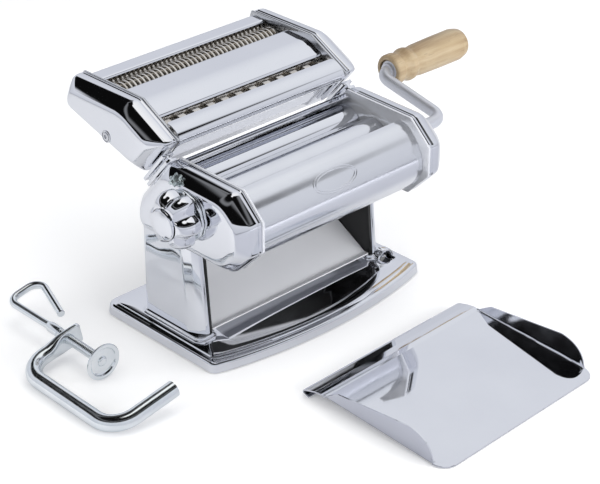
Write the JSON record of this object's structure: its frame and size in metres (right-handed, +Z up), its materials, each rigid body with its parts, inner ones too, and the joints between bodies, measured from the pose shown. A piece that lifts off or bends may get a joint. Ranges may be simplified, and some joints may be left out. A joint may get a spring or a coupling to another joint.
{
  "type": "pasta roller machine",
  "caption": "Chromed hand-cranked pasta machine: smooth rollers with a gap knob, a lift-off head of fine and wide cutters, a table clamp and a loose catch tray.",
  "frame": {"origin": "middle of the base on the table, midway between the two stands, at the underside of the middle foot strip", "axes": "+X along the rollers towards the crank, -Y towards the bowed front of the base where the dough comes out, +Z up"},
  "size_m": [0.4416, 0.3439, 0.1675],
  "materials": {
    "chrome": "polished chromed steel sheet",
    "steel": "bright plain steel",
    "zinc": "zinc plated steel, slightly blue",
    "cutter_steel": "nickel plated machined rollers",
    "beech": "turned beech, satin varnish",
    "rubber": "moulded black rubber",
    "nylon": "natural nylon"
  },
  "bodies": {
    "frame": {"base_plate": "chrome", "foot_front": "rubber", "foot_middle": "rubber", "foot_rear": "rubber", "stand_left": "chrome", "stand_right": "chrome", "chute_plate": "chrome", "end_plate_left": "steel", "end_plate_right": "steel", "side_cover_left": "chrome", "side_cover_right": "chrome", "front_panel": "chrome", "rear_panel": "chrome", "rear_guard": "chrome", "scraper_rear": "steel", "scraper_front": "steel", "tie_rod_front": "steel", "tie_rod_rear": "steel", "rear_bush_left": "nylon", "rear_bush_right": "nylon", "rail_left": "zinc", "rail_right": "zinc", "cover_screw_left": "zinc", "cover_screw_right": "zinc", "index_plate": "zinc", "crank_bush": "nylon"},
    "rear_roller": {"rear_roller": "chrome", "rear_roller_gear": "steel", "drive_gear": "steel"},
    "front_bearing": {"front_bush_left": "nylon", "front_bush_right": "nylon"},
    "front_roller": {"front_roller": "chrome", "front_roller_gear": "steel"},
    "gap_shaft": {"eccentric_shaft": "steel", "knob_spring": "steel"},
    "gap_knob": {"gap_knob": "chrome", "index_pin": "steel"},
    "crank_drive": {"crank_pinion": "steel"},
    "crank": {"crank_rod": "chrome"},
    "grip": {"crank_grip": "beech"},
    "cutter_unit": {"cutter_plate_left": "steel", "cutter_plate_right": "steel", "cutter_cover_left": "chrome", "cutter_cover_right": "chrome", "cutter_rear_cover": "chrome", "cutter_bridge": "chrome", "cutter_front_guard": "chrome", "fine_comb": "steel", "wide_comb": "steel", "cutter_screw_left": "zinc", "cutter_screw_right": "zinc"},
    "fine_rear": {"fine_cutter_rear": "cutter_steel"},
    "fine_front": {"fine_cutter_front": "cutter_steel"},
    "wide_rear": {"wide_cutter_rear": "cutter_steel"},
    "wide_front": {"wide_cutter_front": "cutter_steel"},
    "clamp": {"clamp_frame": "zinc"},
    "clamp_pad": {"clamp_pad": "zinc"},
    "clamp_screw": {"clamp_screw": "zinc"},
    "tray": {"tray": "chrome"}
  },
  "joints": [
    {"name": "rear_roller_spin", "type": "hinge", "parent": "frame", "child": "rear_roller", "pos_m": [0, -0.0055, 0.111], "axis": [1, 0, 0], "continuous": true},
    {"name": "front_bearing_shift", "type": "slide", "parent": "frame", "child": "front_bearing", "axis": [0, 1, 0], "range_m": [0, 0.0016]},
    {"name": "front_roller_spin", "type": "hinge", "parent": "front_bearing", "child": "front_roller", "pos_m": [0, -0.0333, 0.111], "axis": [1, 0, 0], "continuous": true},
    {"name": "gap_turn", "type": "hinge", "parent": "frame", "child": "gap_shaft", "pos_m": [0, -0.0325, 0.111], "axis": [1, 0, 0], "range_deg": [0, 180]},
    {"name": "knob_pull", "type": "slide", "parent": "gap_shaft", "child": "gap_knob", "axis": [-1, 0, 0], "range_m": [0, 0.004], "stiffness_N_per_m": 600, "deforming": ["knob_spring"]},
    {"name": "crank_turn", "type": "hinge", "parent": "frame", "child": "crank_drive", "pos_m": [0, -0.0315, 0.099], "axis": [1, 0, 0], "continuous": true},
    {"name": "crank_pull", "type": "slide", "parent": "crank_drive", "child": "crank", "axis": [1, 0, 0], "range_m": [0, 0.06]},
    {"name": "grip_spin", "type": "hinge", "parent": "crank", "child": "grip", "pos_m": [0.1585, 0.0311, 0.1147], "axis": [1, 0, 0], "continuous": true},
    {"name": "cutter_lift", "type": "slide", "parent": "frame", "child": "cutter_unit", "axis": [0, -0.6429, 0.7659], "range_m": [0, 0.045]},
    {"name": "fine_rear_spin", "type": "hinge", "parent": "cutter_unit", "child": "fine_rear", "pos_m": [0, 0.0868, 0.1535], "axis": [1, 0, 0], "continuous": true},
    {"name": "fine_front_spin", "type": "hinge", "parent": "cutter_unit", "child": "fine_front", "pos_m": [0, 0.0692, 0.1535], "axis": [1, 0, 0], "continuous": true},
    {"name": "wide_rear_spin", "type": "hinge", "parent": "cutter_unit", "child": "wide_rear", "pos_m": [0, 0.0372, 0.143], "axis": [1, 0, 0], "continuous": true},
    {"name": "wide_front_spin", "type": "hinge", "parent": "cutter_unit", "child": "wide_front", "pos_m": [0, 0.0176, 0.143], "axis": [1, 0, 0], "continuous": true},
    {"name": "clamp_lift", "type": "slide", "parent": "frame", "child": "clamp", "axis": [0, 0, 1], "range_m": [0, 0.05]},
    {"name": "clamp_travel", "type": "slide", "parent": "clamp", "child": "clamp_pad", "axis": [-0.0113, -0.9995, -0.0308], "range_m": [-0.027, 0.0135]},
    {"name": "clamp_screw_turn", "type": "hinge", "parent": "clamp_pad", "child": "clamp_screw", "pos_m": [-0.15694, 0.02683, 0.01497], "axis": [-0.0113, -0.9995, -0.0308], "range_deg": [-6480, 3240]},
    {"name": "tray_lift", "type": "slide", "parent": "frame", "child": "tray", "axis": [0, 0, 1], "range_m": [0, 0.05]}
  ],
  "couplings": [
    {"joint": "front_roller_spin", "follows": "rear_roller_spin", "ratio": -1},
    {"joint": "crank_turn", "follows": "rear_roller_spin", "ratio": -0.85714},
    {"joint": "gap_turn", "follows": "front_bearing_shift", "rad_per_m": 1963.5},
    {"joint": "fine_front_spin", "follows": "fine_rear_spin", "ratio": -1},
    {"joint": "wide_front_spin", "follows": "wide_rear_spin", "ratio": -1},
    {"joint": "clamp_travel", "follows": "clamp_screw_turn", "m_per_rad": 0.00023873}
  ]
}
